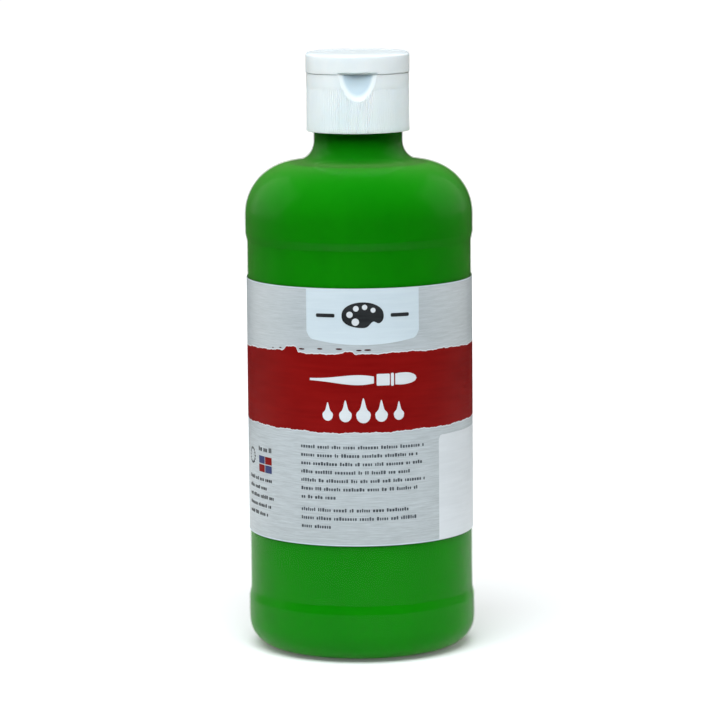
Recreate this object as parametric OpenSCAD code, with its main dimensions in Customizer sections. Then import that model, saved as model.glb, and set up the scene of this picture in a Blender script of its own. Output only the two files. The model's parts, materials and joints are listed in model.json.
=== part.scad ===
// Squeeze bottle of acrylic paint, 16 fl oz, with a 28-410 flip-top closure.
// Origin: centre of the base ring's resting plane. +Z up, the thumb scoop faces -Y, the hinge +Y.

/* [Bottle body] */
// Outer radius of the two bumper bands, the widest part
bumper_r = 34.8; // [34.6:0.1:36]
// Outer radius of the recessed label panel
panel_r = 34.25; // [33.8:0.05:34.4]
// Wall thickness of the blown body
wall = 0.9; // [0.7:0.1:1.3]
// Rounding of the corner between base and side
base_round = 8.5; // [6:0.5:11]
// Height of the centre of the base above the resting plane
push_up = 3.0; // [2:0.5:4]
// Height at which the lower bumper starts to step in to the panel
low_step_z = 15.3; // [12:0.1:20]
// Height at which the panel starts to step out to the upper bumper
high_step_z = 124.9; // [122:0.1:128]
// Height of each of those two steps
step_h = 2.5; // [1.5:0.1:3.5]
// Height of the corner that the shoulder's rounding replaces
shoulder_z = 147.0; // [144:0.5:149]
// Rounding of the shoulder
shoulder_round = 16.0; // [12:0.5:18]

/* [Neck and mouth] */
// Radius of the plain neck below the closure
neck_r = 13.65; // [13.5:0.05:13.75]
// Height of the corner that the neck's fillet replaces
neck_base_z = 150.0; // [149.5:0.5:151]
// Fillet between shoulder and neck
neck_fillet = 6.0; // [4:0.5:6.5]
// Height of the mouth's sealing land
mouth_z = 173.6; // [173.4:0.1:173.6]
// Radius of the neck's bore
bore_r = 10.9; // [10.5:0.1:11]
// Radius of the finish between the threads
finish_r = 12.5; // [12.4:0.05:12.6]
// Radius over the crest of the bottle's thread
crest_r = 13.55; // [13.4:0.05:13.6]
// Axial distance between turns, six to the inch
pitch = 4.2333; // [4.2:0.0001:4.25]
// Turns of thread on the neck
neck_turns = 1.5; // [1.25:0.25:1.75]

/* [Paint] */
// Height of the paint's surface, inside the neck
paint_level_z = 160.5; // [152:0.5:160.5]

/* [Label] */
// Lower edge of the label
label_low_z = 36.3; // [30:0.1:40]
// Upper edge of the label
label_high_z = 114.0; // [105:0.1:118]
// Thickness of the label film
label_t = 0.12; // [0.08:0.01:0.2]
// Angle that the glued overlap covers at the back
overlap_deg = 14; // [8:1:20]

/* [Closure] */
// Lower edge of the skirt
skirt_z = 158.25; // [158.2:0.05:158.5]
// Height of the parting between closure base and lid
seam_z = 175.95; // [175.9:0.05:176.1]
// Radius over the ribs of the skirt
skirt_r = 15.6; // [15.5:0.05:15.8]
// Inner radius of the skirt, at the root of its thread
skirt_bore_r = 13.85; // [13.8:0.05:13.9]
// Radius of the crest of the closure's thread
closure_crest_r = 12.8; // [12.75:0.05:12.9]
// Number of grip grooves round the skirt
groove_count = 144; // [96:12:144]
// Depth of a grip groove
groove_depth = 0.22; // [0.1:0.02:0.3]
// Height of the plain band above the grooves
plain_band_h = 3.6; // [2:0.1:6]
// Thickness of the deck
deck_t = 1.25; // [1.2:0.05:1.3]
// Radius of the pouring hole
orifice_r = 1.6; // [1.5:0.05:1.8]

/* [Thumb scoop] */
// Height of the scoop below the parting
scoop_h = 7.9; // [6:0.1:8.5]
// Depth of the scoop at the parting
scoop_depth = 1.45; // [1:0.05:1.5]
// Radius of the scoop's surface, seen from above
scoop_across_r = 34; // [24:1:60]

/* [Lid] */
// Outer radius of the lid
lid_r = 15.75; // [15.6:0.05:15.9]
// Height of the lid
lid_h = 6.2; // [5.6:0.1:6.4]
// Thickness of the lid's wall and top
lid_wall = 1.2; // [1:0.05:1.3]
// Rounding of the lid's top edge
lid_round = 1.1; // [0.6:0.1:1.1]
// How far the sealing pin reaches into the pouring hole
pin_reach = 1.5; // [1:0.1:1.5]

/* [Living hinge] */
// Distance from the axis of the bottle to the flat at the back of the closure
flat_y = 14.4; // [14.35:0.05:14.5]
// How far the flat reaches down the closure base
flat_drop = 7.2; // [6.8:0.1:7.6]
// Thickness of the films of the hinge
film_t = 0.3; // [0.2:0.05:0.35]

/* [Hidden] */
$fn = 96;

// Small distances that keep faces apart or let solids bite into each other
hair = 0.02;
bite = 0.4;
paint_gap = 0.08;
seam_gap = 0.15;
far = 250;

lid_top_z = seam_z + lid_h;
deck_top_z = seam_z - 0.3;
deck_low_z = deck_top_z - deck_t;
lid_low_z = seam_z + seam_gap / 2;
base_top_z = seam_z - seam_gap / 2;
// The hinge line runs along X in the middle of the films
hinge_y = flat_y + hair + film_t / 2;

function unit(v) = v / norm(v);
// The corner at p of an outline, between its neighbours a and b, rounded to radius p[2]:
// [first tangent point, second tangent point, centre of the rounding]
function corner(a, p, b) =
    let (o = [p[0], p[1]],
        u = unit([a[0], a[1]] - o),
        w = unit([b[0], b[1]] - o),
        half = acos(u * w) / 2)
    [o + u * p[2] / tan(half), o + w * p[2] / tan(half), o + unit(u + w) * p[2] / sin(half)];
// Above zero where an anticlockwise outline turns left, at a corner that stands out
function turn(a, p, b) = (p[0] - a[0]) * (b[1] - p[1]) - (p[1] - a[1]) * (b[0] - p[0]);

// An anticlockwise outline of [x, y, rounding] points, with true arcs at its corners
module rounded(points) {
    n = len(points);
    function at(i) = points[(i + n) % n];
    corners = [for (i = [0:n - 1]) at(i)[2] > 0 ? corner(at(i - 1), at(i), at(i + 1)) : []];
    cut = [for (i = [0:n - 1])
        each (at(i)[2] > 0 ? [corners[i][0], corners[i][1]] : [[at(i)[0], at(i)[1]]])];
    module segments(out) {
        for (i = [0:n - 1])
            if (at(i)[2] > 0 && (turn(at(i - 1), at(i), at(i + 1)) > 0) == out)
                intersection() {
                    polygon([corners[i][0], [at(i)[0], at(i)[1]], corners[i][1]]);
                    translate(corners[i][2]) circle(r = at(i)[2]);
                }
    }
    difference() {
        union() {
            polygon(cut);
            segments(true);
        }
        segments(false);
    }
}

// A trapezoidal thread ridge: root and crest are radii, and the half heights are those of the
// ridge there. It climbs anticlockwise from +X at height z, and fades at both ends.
module thread_ridge(root, crest, root_half, crest_half, z, turns) {
    step = 10;
    fade_deg = 30;
    end_share = 0.05;
    sweep = 360 * turns;
    count = round(sweep / step);
    buried = root + (root < crest ? -bite : bite);
    function grow(a) = min(1, end_share + a / fade_deg, end_share + (sweep - a) / fade_deg);
    function ring(i) =
        let (a = i * step, mid = z + pitch * a / 360, top = root + (crest - root) * grow(a))
        [for (q = [[buried, root_half], [top, crest_half], [top, -crest_half], [buried, -root_half]])
            [q[0] * cos(a), q[0] * sin(a), mid + q[1]]];
    points = [for (i = [0:count]) each ring(i)];
    outward = root < crest;
    function side(i, k) =
        let (a = 4 * i + k, b = 4 * i + (k + 1) % 4, c = a + 4, d = b + 4)
        outward ? [[a, d, b], [a, c, d]] : [[a, b, d], [a, d, c]];
    sides = [for (i = [0:count - 1]) for (k = [0:3]) each side(i, k)];
    last = 4 * count;
    ends = outward
        ? [[0, 2, 3], [0, 1, 2], [last, last + 2, last + 1], [last, last + 3, last + 2]]
        : [[0, 3, 2], [0, 2, 1], [last, last + 1, last + 2], [last, last + 2, last + 3]];
    polyhedron(points = points, faces = concat(sides, ends), convexity = 6);
}

// ---- Bottle ----

// The base stands on a ring. Inside the ring it slopes up to a raised centre.
raised_r = 16.6;
ring_inner_r = 21.5;
raised_round = 4;
ring_round = 1.5;
step_round = 1.2;
// The neck tapers in to the finish just above the skirt's lower edge
neck_end_z = skirt_z - 0.35;
neck_taper_h = 1;
// The thread ends this far below the mouth
thread_drop = 2.6;

// The part of the shell's outline that the paint shares: the inside, set in by gap, from the
// middle of the base round to the neck's bore at height top
function inside(gap, top) = [
    [0, push_up + wall + gap, 0],
    [raised_r + wall - gap, push_up + wall + gap, raised_round],
    [ring_inner_r + wall - gap, wall + gap, ring_round],
    [bumper_r - wall - gap, wall + gap, base_round - wall - gap],
    [bumper_r - wall - gap, low_step_z, step_round],
    [panel_r - wall - gap, low_step_z + step_h, step_round],
    [panel_r - wall - gap, high_step_z, step_round],
    [bumper_r - wall - gap, high_step_z + step_h, step_round],
    [bumper_r - wall - gap, shoulder_z - wall - gap, shoulder_round - wall - gap],
    [bore_r - gap, neck_base_z - wall - gap, neck_fillet + wall + gap],
    [bore_r - gap, top, 0]];

outside = [
    [0, push_up, 0],
    [raised_r, push_up, raised_round],
    [ring_inner_r, 0, ring_round],
    [bumper_r, 0, base_round],
    [bumper_r, low_step_z, step_round],
    [panel_r, low_step_z + step_h, step_round],
    [panel_r, high_step_z, step_round],
    [bumper_r, high_step_z + step_h, step_round],
    [bumper_r, shoulder_z, shoulder_round],
    [neck_r, neck_base_z, neck_fillet],
    [neck_r, neck_end_z, 0.25],
    [finish_r, neck_end_z + neck_taper_h, 0.4],
    [finish_r, mouth_z, 0.35]];

neck_thread_z = mouth_z - thread_drop - pitch * neck_turns;
neck_root_half = 1.15;
neck_crest_half = 0.55;

module bottle() {
    color([0.80, 0.88, 0.80, 0.4]) {
        difference() {
            union() {
                rotate_extrude() rounded(concat(outside, [[0, mouth_z, 0]]));
                thread_ridge(finish_r, crest_r, neck_root_half, neck_crest_half,
                    neck_thread_z, neck_turns);
            }
            rotate_extrude() rounded(concat(inside(0, mouth_z + 1), [[0, mouth_z + 1, 0]]));
        }
    }
}

module paint_fill() {
    color([0.10, 0.53, 0.07])
        rotate_extrude() rounded(concat(inside(paint_gap, paint_level_z), [[0, paint_level_z, 0]]));
}

module label() {
    label_r = panel_r + hair;
    color([0.76, 0.78, 0.80]) {
        rotate_extrude()
            translate([label_r, label_low_z]) square([label_t, label_high_z - label_low_z]);
        // The glued overlap, one more thickness at the back
        rotate([0, 0, 90 - overlap_deg / 2])
            rotate_extrude(angle = overlap_deg)
                translate([label_r + label_t / 2, label_low_z])
                    square([label_t * 3 / 2, label_high_z - label_low_z]);
    }
}

// ---- Closure ----

module seal_washer() {
    washer_r = 13.3;
    washer_bore_r = 6;
    color([0.93, 0.93, 0.90])
        rotate_extrude()
            translate([washer_bore_r, mouth_z + hair])
                square([washer_r - washer_bore_r, deck_low_z - mouth_z - 2 * hair]);
}

// The grooved outline of the skirt: a flat crest and a V groove at each step
module grooved_disc() {
    step = 360 / groove_count;
    // The shares of a step at which a groove's corners lie, and the depth there
    corners = [[-0.30, 0], [-0.08, 1], [0.08, 1], [0.30, 0]];
    polygon([for (i = [0:groove_count - 1]) for (c = corners)
        let (a = step * (i + c[0]), r = skirt_r - groove_depth * c[1])
        [r * cos(a), r * sin(a)]]);
}

// The thumb scoop's cutter: a barrel lying across the front, deepest at the parting
module scoop_barrel() {
    sink = 2;
    length = 20;
    // The barrel's radius makes it reach scoop_depth at the parting and nothing at its foot
    span = scoop_h + sink;
    barrel_r = (span * span - sink * sink) / (2 * scoop_depth) + scoop_depth / 2;
    reach = sqrt(barrel_r * barrel_r - span * span);
    translate([0, -skirt_r - reach, seam_z + sink])
        rotate([0, 90, 0])
            rotate_extrude()
                intersection() {
                    translate([barrel_r - scoop_across_r, 0]) circle(r = scoop_across_r);
                    translate([0, -length / 2]) square([barrel_r + 1, length]);
                }
}

// Cuts the flat at the back of the closure, between two heights
module hinge_flat(low, high) {
    translate([-far / 2, flat_y, low]) cube([far, far, high - low]);
}

closure_thread_turns = 1.25;
closure_root_half = 0.95;
closure_crest_half = 0.4;
// The closure's ridge runs under the neck's, with flank_gap between their flanks
flank_gap = 0.35;
mid_flank_half = (neck_root_half + neck_crest_half) / 2;
ridge_drop = mid_flank_half + (closure_root_half + closure_crest_half) / 2 + flank_gap;
// The recess in the roof that holds the washer
washer_seat_r = 13.5;
washer_seat_h = 1.6;
// Height of the spout's rim above the deck
spout_h = 0.9;

module cap_base() {
    // The skirt's mouth flares by lead_in over lead_in_h
    lead_in = 0.5;
    lead_in_h = 0.7;
    collar_r = 13.4;
    collar_wall = 1.0;
    collar_h = 1.1;
    spout_r = 3.0;
    groove_top_z = seam_z - plain_band_h;
    // The grooves run out over fade_h, and the two lengths of the skirt overlap by lap
    fade_h = 0.6;
    lap = 0.1;
    outer = [
        [0, groove_top_z - fade_h, 0],
        [skirt_r - groove_depth, groove_top_z - fade_h, 0],
        [skirt_r, groove_top_z, 0],
        [skirt_r, base_top_z, 0.15],
        [collar_r, base_top_z, 0.1],
        [collar_r, base_top_z + collar_h, 0.2],
        [collar_r - collar_wall, base_top_z + collar_h, 0.2],
        [collar_r - collar_wall, deck_top_z, 0.3],
        [spout_r, deck_top_z, 0.3],
        [spout_r, deck_top_z + spout_h, 0.3],
        [0, deck_top_z + spout_h, 0]];
    hollow = [
        [0, skirt_z - 1, 0],
        [skirt_bore_r + lead_in, skirt_z - 1, 0],
        [skirt_bore_r + lead_in, skirt_z, 0],
        [skirt_bore_r, skirt_z + lead_in_h, 0],
        [skirt_bore_r, mouth_z - washer_seat_h, 0.5],
        [washer_seat_r, mouth_z - washer_seat_h, 0],
        [washer_seat_r, deck_low_z, 0.3],
        [0, deck_low_z, 0]];
    color([0.95, 0.96, 0.97]) {
        difference() {
            union() {
                translate([0, 0, skirt_z])
                    linear_extrude(height = groove_top_z - lap - skirt_z) grooved_disc();
                rotate_extrude() rounded(outer);
            }
            rotate_extrude() rounded(hollow);
            cylinder(r = orifice_r, h = far);
            scoop_barrel();
            hinge_flat(seam_z - flat_drop, seam_z + lid_h);
        }
        thread_ridge(skirt_bore_r, closure_crest_r, closure_root_half, closure_crest_half,
            neck_thread_z - ridge_drop, closure_thread_turns);
    }
}

module lid() {
    pin_r = orifice_r - 0.15;
    pin_low_z = deck_top_z + spout_h - pin_reach;
    tip = 0.3;
    ring_low_z = deck_top_z + 0.5;
    ring_r = 4.1;
    ring_bore_r = 3.3;
    dish_r = 13.2;
    dish_t = 0.25;
    dish_slope = 0.8;
    back_t = 0.7;
    back_inset = 0.3;
    outline = [
        [0, lid_low_z, 0],
        [lid_r, lid_low_z, 0.15],
        [lid_r, lid_top_z, lid_round],
        [dish_r, lid_top_z, 0.6],
        [dish_r - dish_slope, lid_top_z - dish_t, 0.6],
        [0, lid_top_z - dish_t, 0]];
    ceiling_z = lid_top_z - dish_t - lid_wall;
    hollow = [
        [0, lid_low_z - 1, 0],
        [lid_r - lid_wall, lid_low_z - 1, 0],
        [lid_r - lid_wall, ceiling_z, 0.8],
        [0, ceiling_z, 0]];
    color([0.95, 0.96, 0.97]) {
        difference() {
            rotate_extrude() rounded(outline);
            rotate_extrude() rounded(hollow);
            hinge_flat(seam_z - 1, lid_top_z + 1);
        }
        // Closes the back of the lid along the flat
        intersection() {
            translate([-lid_r, flat_y - back_t, lid_low_z])
                cube([2 * lid_r, back_t, ceiling_z + bite - lid_low_z]);
            cylinder(r = lid_r - back_inset, h = far);
        }
        // Sealing pin, with a taper at its tip
        rotate_extrude()
            polygon([[0, pin_low_z], [pin_r - tip, pin_low_z], [pin_r, pin_low_z + 2 * tip],
                [pin_r, ceiling_z + bite], [0, ceiling_z + bite]]);
        // Ring that closes round the spout
        rotate_extrude()
            translate([ring_bore_r, ring_low_z])
                square([ring_r - ring_bore_r, ceiling_z + bite - ring_low_z]);
    }
}

// One film of the hinge, lying on the flat across the parting
module hinge_film(x, width, reach) {
    color([0.92, 0.93, 0.94])
        translate([x - width / 2, hinge_y - film_t / 2, seam_z - reach])
            cube([width, film_t, 2 * reach]);
}

// The two strips and the snap band between them: place, width, and reach above and below the line
strip_x = 4.2;
strip_w = 2.4;
strip_reach = 1.4;
band_w = 3.2;
band_reach = 4.6;

module hinge_strip_left() {
    hinge_film(-strip_x, strip_w, strip_reach);
}

module hinge_strip_right() {
    hinge_film(strip_x, strip_w, strip_reach);
}

module snap_band() {
    hinge_film(0, band_w, band_reach);
}

bottle();
paint_fill();
label();
seal_washer();
cap_base();
lid();
hinge_strip_left();
hinge_strip_right();
snap_band();
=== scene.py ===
"""Looks of a squeeze bottle of acrylic paint with a flip-top closure, built round its CAD frame."""

import json
import random
from math import cos, pi, radians, sin, sqrt, tan

import bmesh
import bpy
import numpy as np
from mathutils import Matrix, Vector


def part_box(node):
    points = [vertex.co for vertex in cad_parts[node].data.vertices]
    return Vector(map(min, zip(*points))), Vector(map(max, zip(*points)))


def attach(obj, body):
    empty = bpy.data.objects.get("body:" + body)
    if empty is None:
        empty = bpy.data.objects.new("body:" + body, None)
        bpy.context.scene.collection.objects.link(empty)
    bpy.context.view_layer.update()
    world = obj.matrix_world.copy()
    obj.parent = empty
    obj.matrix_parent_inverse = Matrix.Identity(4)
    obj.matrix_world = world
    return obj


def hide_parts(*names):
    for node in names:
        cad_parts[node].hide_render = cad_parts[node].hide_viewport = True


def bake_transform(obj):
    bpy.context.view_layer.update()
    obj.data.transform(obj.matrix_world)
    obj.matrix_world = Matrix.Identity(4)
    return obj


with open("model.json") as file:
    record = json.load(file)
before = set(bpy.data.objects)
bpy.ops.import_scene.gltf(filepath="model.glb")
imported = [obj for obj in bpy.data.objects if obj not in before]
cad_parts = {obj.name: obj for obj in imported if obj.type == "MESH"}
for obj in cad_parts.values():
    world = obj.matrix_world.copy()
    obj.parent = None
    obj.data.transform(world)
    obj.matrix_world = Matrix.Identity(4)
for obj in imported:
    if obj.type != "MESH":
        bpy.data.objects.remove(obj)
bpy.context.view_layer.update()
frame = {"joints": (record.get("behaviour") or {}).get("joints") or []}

MM = 0.001

# Edges sharper than this many degrees stay sharp on turned pieces, and on thin strips and slabs
TURNED_SHARP, STRIP_SHARP, SLAB_SHARP = 35, 50, 60
# How much of a turn a thread's ridge takes to rise at its ends
THREAD_FADE = radians(30)

# ---------------------------------------------------------------- sizes, in millimetres


def node_box(name):
    """The lowest and highest corner of a CAD node, in millimetres."""
    low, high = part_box(name)
    return low / MM, high / MM


bottle_high = node_box("bottle")[1]
paint_high = node_box("paint_fill")[1]
label_low, label_high = node_box("label")
washer_low, washer_high = node_box("seal_washer")
base_low, base_high = node_box("cap_base")
lid_high = node_box("lid")[1]
strip_low, strip_high = node_box("hinge_strip_right")
band_low, band_high = node_box("snap_band")
joints = {j["name"]: j for j in frame["joints"]}

BUMPER_R = bottle_high.x
MOUTH_Z = bottle_high.z
LABEL_T = 0.12
LABEL_R = label_high.x
PANEL_R = LABEL_R - LABEL_T - 0.02
PAINT_Z = paint_high.z
SKIRT_Z = base_low.z
SKIRT_R = base_high.x
LID_R = lid_high.x
LID_TOP_Z = lid_high.z
HINGE_Y = joints["lid_hinge"]["pos_m"][1] / MM
SEAM_Z = joints["lid_hinge"]["pos_m"][2] / MM
FILM_T = strip_high.y - strip_low.y
FLAT_Y = strip_low.y - 0.02

# Bottle
BASE_ROUND = 8.5
PUSH_UP = 3.0
RAISED_R, RAISED_ROUND = 16.6, 4.0
RING_INNER_R, RING_ROUND = 21.5, 1.5
STEP_ROUND = 1.2
LOW_STEP_Z = 15.3
HIGH_STEP_Z = 124.9
STEP_H = 2.5
SHOULDER_Z = 147.0
SHOULDER_ROUND = 16.0
NECK_R = 13.65
NECK_BASE_Z = 150.0
NECK_FILLET = 6.0
NECK_SHADE_R = 21.3
BORE_R = 10.9
FINISH_R = 12.5
TAPER_Z = SKIRT_Z - 0.35
TAPER_H = 1.0
CREST_R = 13.55
PITCH = 4.2333
NECK_TURNS = 1.5
NECK_THREAD_Z = MOUTH_Z - 2.6 - PITCH * NECK_TURNS
NECK_ROOT_HALF, NECK_CREST_HALF = 1.15, 0.55
# Thick clear plastic bends light so that paint seems to reach its outside. So the wetted wall is
# drawn this thin, and the paint fills the rest.
SKIN = 0.3
SKIN_GAP = 0.03
# How far the line between the mould's halves is turned from the bottle's sides
PARTING_TURN = radians(12.6)

# Label print: heights, and places round the label from the middle of its front
PRINT_HALF_TURN = pi * LABEL_R - 4.5
EMBLEM_S = 0.9
BADGE_S, BADGE_HALF, BADGE_CORNER_Z, BADGE_FOOT_Z = 1.0, 17.5, 101.0, 97.1
PALETTE_Z = 105.9
BAND_HIGH_Z, BAND_LOW_Z = 94.4, 70.8
BRUSH_Z, DROPS_Z = 86.6, 77.3
PANEL_S, PANEL_TOP_Z, PANEL_END_S = 25.8, 68.4, 58
TEXT_S, TEXT_Z, SECOND_TEXT_Z, TEXT_PITCH = -18.8, 65.7, 46.6, 2.55
CHIPS_S, CHIPS_Z, CHIP_W, CHIP_H = -38.2, 56.2, 3.5, 2.3
CHIP_STEP_S, CHIP_STEP_Z = 3.8, 2.6
BACK_TEXT_Z, BACK_PITCH = 64.0, 2.3

# Closure
BORE_SKIRT_R = 13.85
CLOSURE_CREST_R = 12.8
CLOSURE_TURNS = 1.25
CLOSURE_ROOT_HALF, CLOSURE_CREST_HALF = 0.95, 0.4
FLANK_GAP = 0.35
RIDGE_DROP = ((NECK_ROOT_HALF + NECK_CREST_HALF + CLOSURE_ROOT_HALF + CLOSURE_CREST_HALF) / 2
              + FLANK_GAP)
GROOVES = 144
GROOVE_DEPTH = 0.22
PLAIN_BAND_H = 3.6
DECK_TOP_Z = SEAM_Z - 0.3
DECK_LOW_Z = DECK_TOP_Z - 1.25
BASE_TOP_Z = SEAM_Z - 0.075
COLLAR_R, COLLAR_WALL, COLLAR_H = 13.4, 1.0, 1.1
SPOUT_R, SPOUT_H = 3.0, 0.9
ORIFICE_R = 1.6
SEAT_R = 13.5
SCOOP_H, SCOOP_DEPTH, SCOOP_ACROSS_R, SCOOP_SINK = 7.9, 1.4, 34.0, 2.0
FLAT_DROP = 7.2
LID_WALL = 1.2
LID_BACK_T = 0.7
LID_LOW_Z = SEAM_Z + 0.075
LID_ROUND = 1.1
DISH_R, DISH_T = 13.2, 0.25
NOTCH_HALF, NOTCH_H, NOTCH_DEPTH = 6.0, 0.6, 0.75
WASHER_BORE_R = 6.0
PIN_GAP, PIN_DIP = 0.15, 1.5
LID_RING_R, LID_RING_IN_R, LID_RING_GAP = 4.1, 3.3, 0.5

# ---------------------------------------------------------------- outlines and meshes


def rounded(points, step):
    """An outline of (r, z, rounding) corners, with each rounded corner as an arc of even steps of at
    most step degrees."""
    out = []
    n = len(points)
    for i, (x, y, r) in enumerate(points):
        p = Vector((x, y))
        if r <= 0:
            out.append(p)
            continue
        a = (Vector(points[i - 1][:2]) - p).normalized()
        b = (Vector(points[(i + 1) % n][:2]) - p).normalized()
        half = a.angle(b) / 2
        centre = p + (a + b).normalized() * (r / sin(half))
        first = p + a * (r / tan(half)) - centre
        sweep = -first.angle_signed(p + b * (r / tan(half)) - centre)
        count = max(2, int(np.ceil(abs(sweep) / radians(step))))
        out += [centre + Matrix.Rotation(sweep * k / count, 2) @ first for k in range(count + 1)]
    return out


def refine(outline, spacing):
    """Adds points along an outline's straight stretches. spacing(z) is the longest step allowed."""
    out = []
    for a, b in zip(outline[:-1], outline[1:]):
        count = max(1, int(np.ceil((b - a).length / spacing((a.y + b.y) / 2))))
        out += [a + (b - a) * (k / count) for k in range(count)]
    return out + [outline[-1]]


def new_object(name, verts, faces, sharp, inner=()):
    """A mesh object from points in millimetres, smooth apart from edges sharper than that angle.
    The faces whose index is in inner take the second material."""
    mesh = bpy.data.meshes.new(name)
    mesh.from_pydata([(x * MM, y * MM, z * MM) for x, y, z in verts], [], faces)
    bm = bmesh.new()
    bm.from_mesh(mesh)
    bm.faces.ensure_lookup_table()
    for i in inner:
        bm.faces[i].material_index = 1
    bmesh.ops.remove_doubles(bm, verts=bm.verts, dist=1e-8)
    bmesh.ops.dissolve_degenerate(bm, dist=1e-8, edges=bm.edges)
    bmesh.ops.recalc_face_normals(bm, faces=bm.faces)
    bm.to_mesh(mesh)
    bm.free()
    mesh.shade_smooth()
    mesh.set_sharp_from_angle(angle=radians(sharp))
    obj = bpy.data.objects.new(name, mesh)
    bpy.context.scene.collection.objects.link(obj)
    return obj


def ring_points(angles, radii, z):
    """Points round the bottle's axis. Angle 0 is the front, -Y, and +X comes at 90 degrees."""
    heights = np.broadcast_to(z, radii.shape)
    return np.stack([radii * np.sin(angles), -radii * np.cos(angles), heights], 1)


def revolve(name, outline, angles, shape=None, coarse=(), coarse_by=3, closed=True, inner_from=None):
    """Turns an outline of (r, z) into a mesh. shape(index, angles, r, z) may reshape a ring's radii.
    Rings whose index is in coarse keep one column in coarse_by. A point on the axis is one vertex.
    Faces after ring inner_from take the second material."""
    verts, rings = [], []
    for i, p in enumerate(outline):
        if p.x < 1e-6:
            rings.append([len(verts)])
            verts.append((0.0, 0.0, p.y))
            continue
        a = angles[::coarse_by] if i in coarse else angles
        radii = np.full(len(a), p.x)
        if shape is not None:
            radii = shape(i, a, p.x, p.y)
        rings.append(list(range(len(verts), len(verts) + len(a))))
        verts += [tuple(v) for v in ring_points(a, radii, p.y)]
    faces, inner = [], []
    pairs = list(zip(rings[:-1], rings[1:])) + ([(rings[-1], rings[0])] if closed else [])
    for i, (one, two) in enumerate(pairs):
        if i == inner_from:
            inner = len(faces)
        few, many = (one, two) if len(one) <= len(two) else (two, one)
        n, k = len(few), len(many) // len(few)
        if n == 1:
            if len(many) > 1:
                faces += [(few[0], many[j], many[(j + 1) % len(many)]) for j in range(len(many))]
            continue
        for j in range(n):
            far_side = [many[(j * k + m) % len(many)] for m in range(k + 1)]
            faces.append((few[(j + 1) % n], few[j], *far_side))
    second = range(inner, len(faces)) if inner else ()
    return new_object(name, verts, faces, TURNED_SHARP, second)


def strip_faces(n, count):
    """The faces of a closed bar whose count sections of n points follow each other."""
    faces = [(n * i + k, n * i + (k + 1) % n, n * (i + 1) + (k + 1) % n, n * (i + 1) + k)
             for i in range(count - 1) for k in range(n)]
    return faces + [tuple(range(n))[::-1], tuple(range(n * (count - 1), n * count))]


def ridge(angles, z, start_z, turns, root_half, crest_half):
    """How much of a thread ridge's height stands at each angle of a ring at height z, from 0 to 1."""
    share = np.zeros(len(angles))
    along = np.mod(angles - pi / 2, 2 * pi)
    for turn in range(int(np.ceil(turns)) + 1):
        sweep = along + 2 * pi * turn
        middle = start_z + PITCH * sweep / (2 * pi)
        flank = np.clip((root_half - np.abs(z - middle)) / (root_half - crest_half), 0, 1)
        ends = np.minimum(sweep / THREAD_FADE, (2 * pi * turns - sweep) / THREAD_FADE)
        ends = np.clip(ends, 0, 1)
        share = np.maximum(share, flank * flank * (3 - 2 * flank) * np.sqrt(ends))
    return share


def soft_min(a, b, k):
    """The smaller of two arrays, with the crossing rounded over about k."""
    h = np.clip(0.5 + 0.5 * (b - a) / k, 0, 1)
    return b + (a - b) * h - k * h * (1 - h)


def even_angles(count):
    return np.arange(count) * (2 * pi / count)


# ---------------------------------------------------------------- materials


def linear(*rgb):
    """An sRGB colour in 0 to 255 as linear values with alpha."""
    c = [v / 255 for v in rgb]
    return tuple(x / 12.92 if x <= 0.04045 else ((x + 0.055) / 1.055) ** 2.4 for x in c) + (1.0,)


class Surface:
    """A material being built, with short ways to add and join its nodes."""

    def __init__(self, name):
        self.material = bpy.data.materials.new(name)
        self.material.use_nodes = True
        self.tree = self.material.node_tree
        self.tree.nodes.clear()
        self.output = self.tree.nodes.new("ShaderNodeOutputMaterial")

    def add(self, kind, settings=None, **inputs):
        """A node of this kind. settings are its properties; inputs go to its sockets by name."""
        n = self.tree.nodes.new("ShaderNode" + kind)
        for key, value in (settings or {}).items():
            setattr(n, key, value)
        for key, value in inputs.items():
            socket = n.inputs[int(key[1:])] if key[1:].isdigit() else n.inputs[key.replace("_", " ")]
            if isinstance(value, bpy.types.NodeSocket):
                self.tree.links.new(value, socket)
            else:
                socket.default_value = value
        return n

    def math(self, operation, *values):
        inputs = {f"i{i}": v for i, v in enumerate(values)}
        return self.add("Math", {"operation": operation}, **inputs).outputs[0]

    def place(self, scale=(1, 1, 1)):
        """The object's own coordinates in millimetres, stretched by scale."""
        coords = self.add("TexCoord").outputs["Object"]
        size = tuple(s / MM for s in scale)
        return self.add("Mapping", Vector=coords, Scale=size).outputs[0]

    def noise(self, scale, stretch=(1, 1, 1), detail=3.0, rough=0.55):
        """Noise whose scale is in features a millimetre."""
        return self.add("TexNoise", Vector=self.place(stretch), Scale=scale, Detail=detail,
                        Roughness=rough).outputs["Fac"]

    def ramp(self, value, low, high, to_low, to_high):
        """value from low..high carried to to_low..to_high, and held there."""
        return self.add("MapRange", Value=value, From_Min=low, From_Max=high, To_Min=to_low,
                        To_Max=to_high).outputs[0]

    def blend(self, share, one, two):
        """A mix of two colours."""
        return self.add("Mix", {"data_type": "RGBA"}, i0=share, i6=one, i7=two).outputs[2]

    def length(self, x, y):
        """The length of the vector (x, y)."""
        squares = self.math("ADD", self.math("MULTIPLY", x, x), self.math("MULTIPLY", y, y))
        return self.math("SQRT", squares)

    def bump(self, height, depth, normal=None):
        """A bump of this depth in millimetres."""
        inputs = {"Height": height, "Distance": depth * MM, "Strength": 1.0}
        if normal is not None:
            inputs["Normal"] = normal
        return self.add("Bump", **inputs).outputs[0]

    def principled(self, **inputs):
        return self.add("BsdfPrincipled", **inputs).outputs[0]

    def finish(self, shader):
        self.tree.links.new(shader, self.output.inputs["Surface"])
        return self.material


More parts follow.
